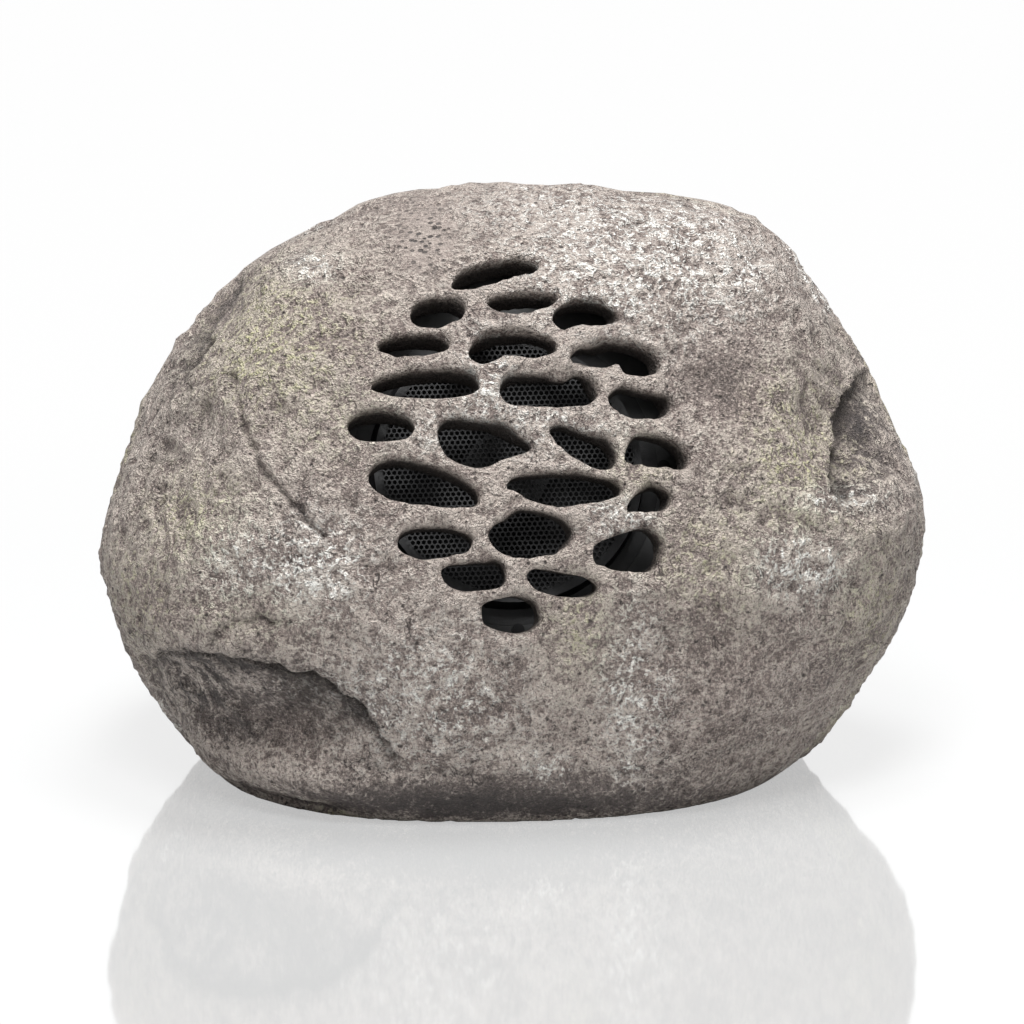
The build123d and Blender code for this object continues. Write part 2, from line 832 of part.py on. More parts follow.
parts = {
    "rock_shell": rock_shell(),
    "base_plate": base_plate(),
    "base_seal": base_seal(),
    "base_screws": screws(base_screw_places, base_screw_size, base_screw_length),
    "gland_washer": at_gland(gland_washer()),
    "gland_body": at_gland(gland_body()),
    "gland_nut": at_gland(gland_nut()),
    "gland_seal": at_gland(gland_seal()),
    "gland_cap": at_gland(gland_cap()),
    "baffle_ring": baffle_ring(),
    "baffle_screws": screws(baffle_screw_places, baffle_screw_size, baffle_screw_length),
    "driver_guard": driver_guard(),
    "guard_screws": screws(guard_screw_places, guard_screw_size, guard_screw_length),
    "driver_gasket": driver_gasket(),
    "driver_basket": driver_basket(),
    "driver_screws": screws(driver_screw_places, driver_screw_size, driver_screw_length),
    "woofer_surround": woofer_surround(),
    "woofer_cone": woofer_cone(),
    "voice_coil": voice_coil(),
    "spider": spider(),
    "top_plate": top_plate(),
    "ring_magnet": ring_magnet(),
    "back_plate": back_plate(),
    "tweeter_stem": tweeter_stem(),
    "tweeter_housing": tweeter_housing(),
    "tweeter_dome": tweeter_dome(),
    "tag_strip": tag_strip(),
    "solder_tags": solder_tags(),
    "driver_leads": driver_leads(),
    "crossover_board": crossover_board(),
    "board_screws": screws(board_screw_places, board_screw_size, board_screw_length),
    "crossover_inductor": crossover_inductor(),
    "crossover_capacitor": crossover_capacitor(),
    "crossover_resistor": crossover_resistor(),
    "terminal_block": terminal_block(),
}

os.makedirs("parts", exist_ok=True)
for name, part in parts.items():
    shape = Compound(children=part) if isinstance(part, list) else part
    export_step(shape, f"parts/{name}.step")
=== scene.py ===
import json
import math

import bmesh
import bpy
import numpy as np
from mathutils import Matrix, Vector
from mathutils.bvhtree import BVHTree


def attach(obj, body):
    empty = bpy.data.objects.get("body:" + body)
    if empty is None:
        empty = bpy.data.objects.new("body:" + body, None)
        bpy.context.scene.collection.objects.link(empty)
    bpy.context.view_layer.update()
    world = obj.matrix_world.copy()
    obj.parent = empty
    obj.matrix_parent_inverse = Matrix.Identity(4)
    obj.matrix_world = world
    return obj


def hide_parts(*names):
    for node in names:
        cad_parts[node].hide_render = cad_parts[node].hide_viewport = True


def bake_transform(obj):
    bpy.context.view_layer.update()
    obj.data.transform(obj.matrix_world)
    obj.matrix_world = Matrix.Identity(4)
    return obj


# Rock shaped garden speaker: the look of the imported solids. Metres, +Z up, front towards -Y.

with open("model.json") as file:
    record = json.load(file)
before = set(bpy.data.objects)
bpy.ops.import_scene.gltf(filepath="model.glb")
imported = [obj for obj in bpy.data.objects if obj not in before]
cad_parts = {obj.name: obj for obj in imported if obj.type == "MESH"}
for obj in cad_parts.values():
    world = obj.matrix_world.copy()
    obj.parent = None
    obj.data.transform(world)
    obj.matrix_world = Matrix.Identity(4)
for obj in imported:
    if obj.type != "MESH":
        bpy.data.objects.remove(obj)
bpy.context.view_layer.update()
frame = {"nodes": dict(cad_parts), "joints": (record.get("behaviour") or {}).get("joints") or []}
nodes = frame["nodes"]
scene = bpy.context.scene

# Camera, from the photograph's viewing angle
photo_size = 1024
camera_elevation = math.radians(13)
camera_distance = 2.2
pixels_per_metre = 2065
sensor_width = 36
aim_point = np.array([0.0, -0.024, 0.140])
aim_pixel = (514, 485)

view_out = np.array([0, -math.cos(camera_elevation), math.sin(camera_elevation)])
view_up = np.array([0, math.sin(camera_elevation), math.cos(camera_elevation)])
view_right = np.array([1.0, 0, 0])
focal = pixels_per_metre * camera_distance
camera_place = aim_point + camera_distance * view_out
edge_fade = (0.02, 0.25)

# Rock skin: mesh sizes in metres, and where the relief fades at the foot and in the slots
voxel = 0.0016
smooth_rounds = 5
smooth_step = 0.6
foot_fade = (0.003, 0.012)
slot_fade = (0.016, 0.003)

# Coarser triangles deep in the slots and on the back
most_triangles = 190000
hidden_depth = (0.020, 0.026)
hidden_turn = (-0.15, 0.1)
coarse_steps = 4
least_coarse = 0.02

# Rays to the closed face, and its part with slots: first turn, last turn and lowest rise, in degrees
rock_middle = np.array([0.0, 0.0, 0.12])
far_out = 0.5
ray_steps = 360
closing_steps = 7
soft_rounds = 3
slot_field = (215, 325, -12)

# Relief: wave length, height, seed
lumps = [(0.055, 0.0022, 1), (0.026, 0.0014, 2)]
wrinkles = [(0.024, 0.0018, 6), (0.013, 0.0020, 3), (0.0075, 0.0015, 4)]
grain = [(0.0045, 0.0009, 5)]
relief_sink = 0.0010
smooth_loss = 0.75
bend_wave = 0.03
bend_size = 0.008

# Fissures, fewer on the front: wave length, width, depth, their bends and where they run
fissure_wave = 0.085
fissure_width = 0.03
fissure_depth = 0.0022
fissure_bend = (0.05, 0.02)
fissure_field = 0.11
fissure_front_loss = 0.7

# Paint: height of a full hollow, depth of the slots' shade, and wave lengths of the washes and tints
hollow_height = 0.0008
hollow_rounds = 4
slot_shade = (0.0010, 0.0075)
wash_wave = 0.06
tint_wave = 0.045

# Places in the photograph's pixels
crack_line = [(228, 372), (237, 400), (247, 440), (262, 470), (275, 490), (300, 515), (322, 540)]
notch_line = [(322, 540), (334, 530), (345, 512)]
brow_line = [(160, 656), (200, 657), (240, 663), (290, 672), (330, 690), (352, 705), (372, 728)]
scoop_line = [(213, 640), (232, 622), (252, 617), (272, 620)]
fold_line = [(178, 684), (205, 694), (235, 712), (258, 742)]
ledge_line = [(262, 250), (250, 266), (233, 298), (214, 326), (203, 352)]
pocket_line = [(836, 502), (828, 480), (832, 450), (836, 420), (843, 390), (862, 374)]
lip_line = [(822, 498), (842, 508), (870, 500), (894, 484)]
low_seam = [(330, 760), (420, 772), (560, 780), (680, 770), (760, 740)]

# Shake of those lines: pixels and wave length, and the wave length at which they break
wide_shake = (7, 0.016)
fine_shake = (4, 0.007)
break_wave = 0.018
break_fade = (-0.80, -0.20)

# Carvings: line, depth, half width in pixels, drop on the line's right, and the drop's half width
carvings = [
    (crack_line, 0.0032, 2.8, -0.0014, 16), (notch_line, 0.0010, 5.0, 0, 30),
    (brow_line, 0.0026, 4.0, 0.0040, 30), (scoop_line, 0.0012, 4.0, 0.0018, 16),
    (fold_line, -0.0022, 8.0, 0, 30), (ledge_line, 0.0014, 4.0, 0.0034, 36),
    (pocket_line, -0.0010, 5.0, 0.0048, 34), (lip_line, -0.0016, 7.0, 0, 30),
    (low_seam, 0.0008, 10.0, 0, 30),
]

# Dark painted shade along those lines, in the crack, under the brow, scoop, fold, ledge and pocket, and
# along the low seam: line, half width, strength
shade_lines = [(crack_line, 2.5, 0.85), (brow_line, 6.0, 1.0), (scoop_line, 3.5, 0.8), (fold_line, 5.0, 0.9),
         (ledge_line, 4.0, 0.8), (pocket_line, 3.0, 0.3), (low_seam, 3.0, 0.4)]

# Patches: across, down, half width, half height, and strength or depth
# Pale dry brush, and a painted highlight on the lip of the pocket
brush_and_highlight_patches = [
    (650, 250, 110, 70, 0.9), (560, 210, 80, 30, 0.6), (735, 275, 30, 40, 0.7), (800, 568, 40, 28, 1.0),
    (635, 690, 30, 70, 0.7), (315, 568, 45, 40, 1.0), (488, 385, 22, 45, 0.9), (500, 430, 120, 24, 0.5),
    (312, 268, 24, 14, 0.8), (840, 500, 40, 12, 0.9), (620, 520, 30, 20, 0.7), (330, 690, 60, 16, 0.4),
    (545, 770, 20, 16, 0.8), (627, 772, 10, 14, 0.9), (430, 700, 80, 60, 0.5), (240, 560, 40, 40, 0.5),
]
green_patches = [
    (270, 340, 80, 75, 1.0), (200, 525, 50, 55, 0.9), (800, 470, 60, 90, 0.9), (720, 560, 70, 60, 0.6),
    (585, 630, 40, 50, 0.6), (140, 600, 40, 60, 0.6), (330, 420, 60, 40, 0.6), (870, 600, 40, 70, 0.6),
    (770, 400, 40, 40, 0.5), (250, 610, 70, 30, 0.5), (640, 470, 30, 40, 0.5),
]
# Painted shade: in the hollow under the brow, in the pocket, along the foot, where the paint is also darker,
# and in a few smaller places
shade_patches = [
    (225, 672, 85, 20, 1.0), (200, 695, 50, 16, 1.0), (275, 690, 70, 30, 0.8), (345, 708, 34, 18, 0.8),
    (235, 725, 50, 26, 0.6), (858, 425, 26, 34, 1.0), (864, 468, 30, 36, 0.9), (480, 806, 340, 30, 1.0),
    (300, 515, 20, 16, 0.5), (120, 300, 30, 60, 0.4),
]
smooth_patches = [
    (425, 235, 34, 44, 1.0), (725, 380, 48, 62, 0.9), (270, 715, 80, 40, 0.7), (480, 800, 360, 28, 0.8),
    (222, 300, 26, 40, 0.9), (850, 420, 24, 30, 0.8), (740, 690, 120, 70, 0.5),
]
pit_patches = [(425, 238, 32, 42, 1.0)]
trim_patches = [(140, 370, 70, 150, 0.0030), (290, 225, 60, 40, 0.0024), (640, 185, 60, 30, 0.0024)]

# Sound slots: across, down and half length, and the clockwise turn to the photograph's tilt
slot_places = [
    (501, 276, 44), (440, 309, 28), (524, 300, 33), (587, 312, 27), (410, 346, 34), (510, 348, 40),
    (618, 357, 46), (427, 386, 58), (553, 392, 52), (646, 406, 27), (381, 429, 31), (484, 440, 42),
    (587, 443, 31), (660, 456, 31), (429, 488, 55), (568, 492, 58), (653, 500, 21), (537, 540, 44),
    (434, 544, 35), (626, 551, 35), (473, 579, 31), (566, 587, 33), (512, 617, 25),
]
least_turn = math.radians(4)
turn_per_pixel = math.radians(0.04)
turn_start = 400
turn_depth = (0.035, 0.025)
turn_reach = (1.45, 0.95)
slot_squash = 1.2

# Thin bars between slots: two ends in pixels, and the width and depth in metres
thin_bars = [((545, 378), (624, 371)), ((574, 566), (612, 581))]
bar_width = 0.0055
bar_depth = 0.016
bar_sink = 0.001


def project(points):
    """The photograph's pixels of points, as across and down."""
    away = points - camera_place
    depth = -(away @ view_out)
    across = aim_pixel[0] + focal * (away @ view_right) / depth
    down = aim_pixel[1] - focal * (away @ view_up) / depth
    return across, down


# Noise and distances

def smoothstep(low, high, value):
    t = np.clip((value - low) / (high - low), 0, 1)
    return t * t * (3 - 2 * t)


def lattice(ix, iy, iz, seed):
    mixed = (ix * 374761393 + iy * 668265263 + iz * 1274126177 + seed * 362437) & 0xFFFFFFFF
    mixed = ((mixed ^ (mixed >> 13)) * 1274126177) & 0xFFFFFFFF
    return mixed ^ (mixed >> 16)


def noise(points, wave, seed):
    """Gradient noise from about -1 to 1."""
    place = points / wave
    cell = np.floor(place).astype(np.int64)
    part = place - cell
    fade = part * part * part * (part * (part * 6 - 15) + 10)
    total = np.zeros(len(points))
    for dx in (0, 1):
        for dy in (0, 1):
            for dz in (0, 1):
                mixed = lattice(cell[:, 0] + dx, cell[:, 1] + dy, cell[:, 2] + dz, seed)
                slope_x = (mixed & 1023) / 511.5 - 1
                slope_y = ((mixed >> 10) & 1023) / 511.5 - 1
                slope_z = ((mixed >> 20) & 1023) / 511.5 - 1
                dot = slope_x * (part[:, 0] - dx) + slope_y * (part[:, 1] - dy) + slope_z * (part[:, 2] - dz)
                weight_x = fade[:, 0] if dx else 1 - fade[:, 0]
                weight_y = fade[:, 1] if dy else 1 - fade[:, 1]
                weight_z = fade[:, 2] if dz else 1 - fade[:, 2]
                total += dot * weight_x * weight_y * weight_z
    return 1.4 * total


def warped(points, wave, size, seed):
    shift = [noise(points, wave, seed + i) for i in range(3)]
    return points + size * np.stack(shift, axis=1)


def line_distance(across, down, line):
    """Distance from a drawn line in pixels, positive on the side to the right of its direction."""
    nearest = np.full(len(across), 1e9)
    side = np.ones(len(across))
    for (ax, ay), (bx, by) in zip(line[:-1], line[1:]):
        dx, dy = bx - ax, by - ay
        along = np.clip(((across - ax) * dx + (down - ay) * dy) / (dx * dx + dy * dy), 0, 1)
        gap = np.hypot(across - ax - along * dx, down - ay - along * dy)
        turn = np.sign(dx * (down - ay) - dy * (across - ax))
        closer = gap < nearest
        nearest = np.where(closer, gap, nearest)
        side = np.where(closer, turn, side)
    return nearest, side


def patch_sum(across, down, patches):
    total = np.zeros(len(across))
    for middle_x, middle_y, half_x, half_y, strength in patches:
        gap = ((across - middle_x) / half_x) ** 2 + ((down - middle_y) / half_y) ** 2
        total = np.maximum(total, strength * np.exp(-gap))
    return total


# Rock: the outer face as a distance from its middle, with the slots closed

class Face:
    """How far out the face lies, by turn and rise about the rock's middle."""

    def __init__(self, mesh):
        mesh.calc_loop_triangles()
        points = [v.co.copy() for v in mesh.vertices]
        tree = BVHTree.FromPolygons(points, [tuple(t.vertices) for t in mesh.loop_triangles])
        rows = ray_steps // 2 + 1
        reach = np.zeros((rows, ray_steps))
        for row in range(rows):
            rise = math.pi * row / (rows - 1) - math.pi / 2
            for column in range(ray_steps):
                turn = 2 * math.pi * column / ray_steps
                flat = math.cos(rise)
                out = Vector((math.cos(turn) * flat, math.sin(turn) * flat, math.sin(rise)))
                start = Vector(rock_middle) + out * far_out
                place = tree.ray_cast(start, -out)[0]
                reach[row, column] = (place - Vector(rock_middle)).dot(out) if place else 0
        highest = self.filtered(reach, np.maximum)
        closed = self.filtered(highest, np.minimum)
        turns = np.arange(ray_steps)[None, :] * 360 / ray_steps
        rises = np.arange(rows)[:, None] * 180 / (rows - 1) - 90
        first_turn, last_turn, lowest_rise = slot_field
        slotted = (turns > first_turn) & (turns < last_turn) & (rises > lowest_rise)
        self.reach = np.where(slotted, closed, reach)
        for _ in range(soft_rounds):
            self.reach = self.softened(self.reach)

    @staticmethod
    def filtered(reach, pick):
        result = reach.copy()
        for step in range(1, closing_steps + 1):
            result[step:] = pick(result[step:], reach[:-step])
            result[:-step] = pick(result[:-step], reach[step:])
        return result

    @staticmethod
    def softened(reach):
        beside = (np.roll(reach, 1, axis=1) + np.roll(reach, -1, axis=1)) / 2
        above = np.vstack([reach[:1], reach[:-1]])
        below = np.vstack([reach[1:], reach[-1:]])
        return 0.5 * reach + 0.25 * beside + 0.125 * (above + below)

    def height(self, points):
        """How far points stand out of the face."""
        away = points - rock_middle
        distance = np.linalg.norm(away, axis=1)
        rise = np.arcsin(np.clip(away[:, 2] / distance, -1, 1))
        turn = np.arctan2(away[:, 1], away[:, 0]) % (2 * math.pi)
        row = (rise + math.pi / 2) / math.pi * (self.reach.shape[0] - 1)
        column = turn / (2 * math.pi) * ray_steps
        row_low = np.clip(np.floor(row).astype(int), 0, self.reach.shape[0] - 2)
        column_low = np.floor(column).astype(int) % ray_steps
        column_high = (column_low + 1) % ray_steps
        row_part = row - row_low
        column_part = column - np.floor(column)

        def along(rows):
            first = self.reach[rows, column_low]
            second = self.reach[rows, column_high]
            return first * (1 - column_part) + second * column_part

        return distance - (along(row_low) * (1 - row_part) + along(row_low + 1) * row_part)

    def normals(self, points, step=0.003):
        slope = np.zeros_like(points)
        for axis in range(3):
            shift = np.zeros(3)
            shift[axis] = step
            slope[:, axis] = self.height(points + shift) - self.height(points - shift)
        return slope / np.maximum(np.linalg.norm(slope, axis=1, keepdims=True), 1e-9)


def mesh_points(mesh):
    flat = np.empty(3 * len(mesh.vertices))
    mesh.vertices.foreach_get("co", flat)
    return flat.reshape(-1, 3)


def set_points(mesh, points):
    mesh.vertices.foreach_set("co", points.ravel())
    mesh.update()


def mesh_edges(mesh):
    flat = np.empty(2 * len(mesh.edges), dtype=np.int64)
    mesh.edges.foreach_get("vertices", flat)
    return flat.reshape(-1, 2)


def averaged(values, edges):
    """Each point's mean over its neighbours."""
    count = np.bincount(edges.ravel(), minlength=len(values))
    result = np.zeros_like(values)
    for axis in range(values.shape[1]):
        result[:, axis] = np.bincount(edges[:, 0], values[edges[:, 1], axis], len(values))
        result[:, axis] += np.bincount(edges[:, 1], values[edges[:, 0], axis], len(values))
    return result / np.maximum(count, 1)[:, None]


def linked(name, data):
    """A new object in the scene, with a mesh, a light or a camera."""
    obj = bpy.data.objects.new(name, data)
    scene.collection.objects.link(obj)
    return obj


def with_modifiers(obj):
    """Applies an object's modifiers to its mesh."""
    graph = bpy.context.evaluated_depsgraph_get()
    mesh = bpy.data.meshes.new_from_object(obj.evaluated_get(graph))
    obj.modifiers.clear()
    obj.data = mesh
    return mesh


def front_share(points, normals):
    """1 on what faces the camera, falling to 0 at the edge of the outline."""
    toward = camera_place - points
    toward /= np.linalg.norm(toward, axis=1, keepdims=True)
    return smoothstep(*edge_fade, np.sum(toward * normals, axis=1))


def shaken(points, across, down):
    """Pixels moved about so that drawn lines turn out crooked, and the share of a line that is left."""
    wide, wide_wave = wide_shake
    fine, fine_wave = fine_shake
    shaken_x = across + wide * noise(points, wide_wave, 41) + fine * noise(points, fine_wave, 42)
    shaken_y = down + wide * noise(points, wide_wave, 43) + fine * noise(points, fine_wave, 44)
    return shaken_x, shaken_y, smoothstep(*break_fade, noise(points, break_wave, 45))


def relief(points, normals):
    """Height of the rock's relief over its smooth face."""
    across, down = project(points)
    seen = front_share(points, normals)
    plain = seen * np.clip(patch_sum(across, down, smooth_patches), 0, 1)
    rough = 1 - smooth_loss * plain
    bent = warped(points, bend_wave, bend_size, 11)
    height = sum(size * noise(bent, wave, seed) for wave, size, seed in lumps) - relief_sink
    height -= patch_sum(across, down, trim_patches)
    for wave, size, seed in wrinkles:
        ridge = 1 - 2 * np.abs(noise(bent, wave, seed))
        height += rough * size * (0.5 * ridge + 0.5 * noise(points, wave, seed + 20))
    for wave, size, seed in grain:
        height += rough * size * noise(points, wave, seed)
    lines = noise(warped(points, *fissure_bend, 31), fissure_wave, 30)
    fissure = np.exp(-((lines / fissure_width) ** 2))
    fissure *= smoothstep(0.1, 0.5, noise(points, fissure_field, 33))
    height -= fissure_depth * fissure * rough * (1 - fissure_front_loss * seen)

    shaken_x, shaken_y, broken = shaken(points, across, down)
    for line, depth, width, drop, drop_width in carvings:
        gap, side = line_distance(shaken_x, shaken_y, line)
        groove = -depth * np.exp(-((gap / width) ** 2)) * broken
        step = drop * np.where(side > 0, 1, 0) * np.exp(-((gap / drop_width) ** 2))
        height += seen * (groove - step)
    return height


def on_face(face, across, down):
    """The point of the closed face behind a pixel."""
    ray = view_right * (across - aim_pixel[0]) + view_up * (aim_pixel[1] - down)
    ray = ray / pixels_per_metre - view_out * camera_distance
    ray /= np.linalg.norm(ray)
    near = camera_distance - far_out
    far = camera_distance
    while far - near > 1e-5:
        middle = (near + far) / 2
        outside = face.height((camera_place + ray * middle)[None])[0] > 0
        near = middle if outside else near
        far = far if outside else middle
    return camera_place + ray * near


def add_bars(work, face):
    """Puts back the thin bars between slots that run together."""
    for first, last in thin_bars:
        ends = [on_face(face, *first), on_face(face, *last)]
        along = (ends[1] - ends[0]) / np.linalg.norm(ends[1] - ends[0])
        side = np.cross(along, view_out) * bar_width / 2
        corners = []
        for end in ends:
            for sink in (bar_sink, bar_depth):
                middle = end - view_out * sink
                corners += [work.verts.new(middle + side), work.verts.new(middle - side)]
        bmesh.ops.convex_hull(work, input=corners)


def turned_slots(points, face):
    """Turns each slot a little about its middle, along the face."""
    across, down = project(points)
    height = face.height(points)
    front = smoothstep(*turn_depth, -height) * (points[:, 1] < 0)
    move = np.zeros_like(points)
    for middle_x, middle_y, half_length in slot_places:
        turn = least_turn + turn_per_pixel * (middle_x - turn_start)
        beside = across - middle_x
        below = down - middle_y
        share = front * smoothstep(*turn_reach, np.hypot(beside, slot_squash * below) / half_length)
        shift_x = beside * (math.cos(turn) - 1) - below * math.sin(turn)
        shift_y = beside * math.sin(turn) + below * (math.cos(turn) - 1)
        move += (share * shift_x)[:, None] * view_right - (share * shift_y)[:, None] * view_up
    moved = points + move / pixels_per_metre
    return moved - face.normals(moved) * ((face.height(moved) - height) * front)[:, None]


def rock_skin():
    """The rock with rounded slots and a relief, in place of its plain solid."""
    source = nodes["rock_shell"].data
    face = Face(source)
    work = bmesh.new()
    work.from_mesh(source)
    add_bars(work, face)
    plain = bpy.data.meshes.new("rock_skin")
    work.to_mesh(plain)
    work.free()
    rock = linked("rock_skin", plain)
    remesh = rock.modifiers.new("remesh", "REMESH")
    remesh.mode = "VOXEL"
    remesh.voxel_size = voxel
    mesh = with_modifiers(rock)
    points = mesh_points(mesh)
    edges = mesh_edges(mesh)
    foot = smoothstep(*foot_fade, points[:, 2])[:, None]
    for _ in range(smooth_rounds):
        points += smooth_step * foot * (averaged(points, edges) - points)
    points = turned_slots(points, face)
    normals = face.normals(points)
    depth = -face.height(points)
    share = smoothstep(*slot_fade, depth) * foot[:, 0]
    points += normals * (relief(points, normals) * share)[:, None]
    points[:, 2] = np.maximum(points[:, 2], 0)
    set_points(mesh, points)

    hidden = np.maximum(smoothstep(*hidden_depth, depth), 1 - smoothstep(*hidden_turn, -normals[:, 1]))
    group = rock.vertex_groups.new(name="coarse")
    for level in range(coarse_steps + 1):
        chosen = np.flatnonzero(np.round(hidden * coarse_steps).astype(int) == level)
        group.add(chosen.tolist(), max(level / coarse_steps, least_coarse), "REPLACE")
    decimate = rock.modifiers.new("decimate", "DECIMATE")
    decimate.ratio = most_triangles / sum(len(p.vertices) - 2 for p in mesh.polygons)
    decimate.vertex_group = "coarse"
    decimate.vertex_group_factor = 1.0
    mesh = with_modifiers(rock)
    rock.vertex_groups.clear()
    mesh.polygons.foreach_set("use_smooth", [True] * len(mesh.polygons))
    paint(mesh, face)
    return rock


def paint(mesh, face):
    """Stores shares on the points for the paint: hollows, slots, dark washes with painted shade, pale brush
    with a painted highlight, tints, painted shade along lines and smooth places.
    """
    points = mesh_points(mesh)
    edges = mesh_edges(mesh)
    normals = face.normals(points)
    depth = -face.height(points)
    across, down = project(points)
    seen = front_share(points, normals)
    beside = 1 - seen
    spread = points.copy()
    for _ in range(hollow_rounds):
        spread = averaged(spread, edges)
    hollow = np.sum((spread - points) * normals, axis=1) / hollow_height
    cloud = noise(points, wash_wave, 51)
    other = noise(points, tint_wave, 52)
    shaken_x, shaken_y, broken = shaken(points, across, down)
    # Painted shade along the drawn lines
    line_shade = np.zeros(len(points))
    for line, half_width, strength in shade_lines:
        gap = line_distance(shaken_x, shaken_y, line)[0]
        line_shade = np.maximum(line_shade, seen * broken * strength * np.exp(-((gap / half_width) ** 2)))
    shares = {
        "hollow": np.clip(0.5 + 0.5 * hollow, 0, 1),
        "slot": smoothstep(*slot_shade, depth),
        "white": seen * patch_sum(across, down, brush_and_highlight_patches) + beside * smoothstep(0.15, 0.6, cloud),
        "green": seen * patch_sum(across, down, green_patches) + beside * smoothstep(0.05, 0.6, other),
        # Painted shade on the front where the shade patches lie, and darker tone at random on the sides and
        # back
        "dark": seen * patch_sum(across, down, shade_patches) + beside * smoothstep(0.2, 0.7, -cloud),
        "plain": seen * patch_sum(across, down, smooth_patches),
        "pits": seen * patch_sum(across, down, pit_patches),
        "line_shade": line_shade,
    }
    for name, values in shares.items():
        attribute = mesh.attributes.new(name, "FLOAT", "POINT")
        attribute.data.foreach_set("value", np.clip(values, 0, 1).astype(np.float32))


# Materials

class Tree:
    """A material's nodes, made in short calls."""

    def __init__(self, name):
        self.material = bpy.data.materials.new(name)
        self.material.use_nodes = True
        self.nodes = self.material.node_tree.nodes
        self.links = self.material.node_tree.links
        self.shader = self.nodes["Principled BSDF"]
        self.place = self.add("ShaderNodeTexCoord").outputs["Object"]

    def add(self, kind, **settings):
        node = self.nodes.new(kind)
        for key, value in settings.items():
            setattr(node, key, value)
        return node

    def feed(self, socket, value):
        if isinstance(value, bpy.types.NodeSocket):
            self.links.new(value, socket)
        else:
            socket.default_value = value

    def noise(self, wave, detail=4.0, rough=0.55, bend=0.0):
        node = self.add("ShaderNodeTexNoise")
        self.links.new(self.place, node.inputs["Vector"])
        node.inputs["Scale"].default_value = 1 / wave
        node.inputs["Detail"].default_value = detail
        node.inputs["Roughness"].default_value = rough
        node.inputs["Distortion"].default_value = bend
        return node.outputs[0]

    def threads(self, wave, width, bend):
        """Thin crooked lines, where a noise passes its middle."""
        off = self.math("SUBTRACT", self.noise(wave, 2.0, 0.5, bend), 0.5)
        return self.between(self.math("ABSOLUTE", off, 0), width, 0.0)

    def cells(self, wave):
        node = self.add("ShaderNodeTexVoronoi")
        self.links.new(self.place, node.inputs["Vector"])
        node.inputs["Scale"].default_value = 1 / wave
        return node.outputs["Distance"]

    def total(self, *terms):
        """A sum of values, each with its factor."""
        result = 0.0
        for value, factor in terms:
            result = self.math("ADD", self.times(value, factor), result)
        return result

    def share(self, name):
        return self.add("ShaderNodeAttribute", attribute_name=name).outputs["Fac"]

    def math(self, operation, a, b):
        node = self.add("ShaderNodeMath", operation=operation)
        self.feed(node.inputs[0], a)
        self.feed(node.inputs[1], b)
        return node.outputs[0]

    def times(self, a, b):
        return self.math("MULTIPLY", a, b)

    def between(self, value, low, high):
        node = self.add("ShaderNodeMapRange", interpolation_type="SMOOTHSTEP")
        self.feed(node.inputs["Value"], value)
        node.inputs["From Min"].default_value = low
        node.inputs["From Max"].default_value = high
        return node.outputs[0]

    def mix(self, share, a, b):
        node = self.add("ShaderNodeMix", data_type="RGBA")
        self.feed(node.inputs[0], share)
        for socket, value in ((node.inputs[6], a), (node.inputs[7], b)):
            self.feed(socket, value if isinstance(value, bpy.types.NodeSocket) else (*value, 1))
        return node.outputs[2]

    def bump(self, height, distance):
        node = self.add("ShaderNodeBump")
        node.inputs["Distance"].default_value = distance
        self.feed(node.inputs["Height"], height)
        self.links.new(node.outputs[0], self.shader.inputs["Normal"])

    def set(self, **values):
        names = {"color": "Base Color", "roughness": "Roughness", "metallic": "Metallic",
                 "specular": "Specular IOR Level"}
        for key, value in values.items():
            self.feed(self.shader.inputs[names[key]], value)
        return self.material


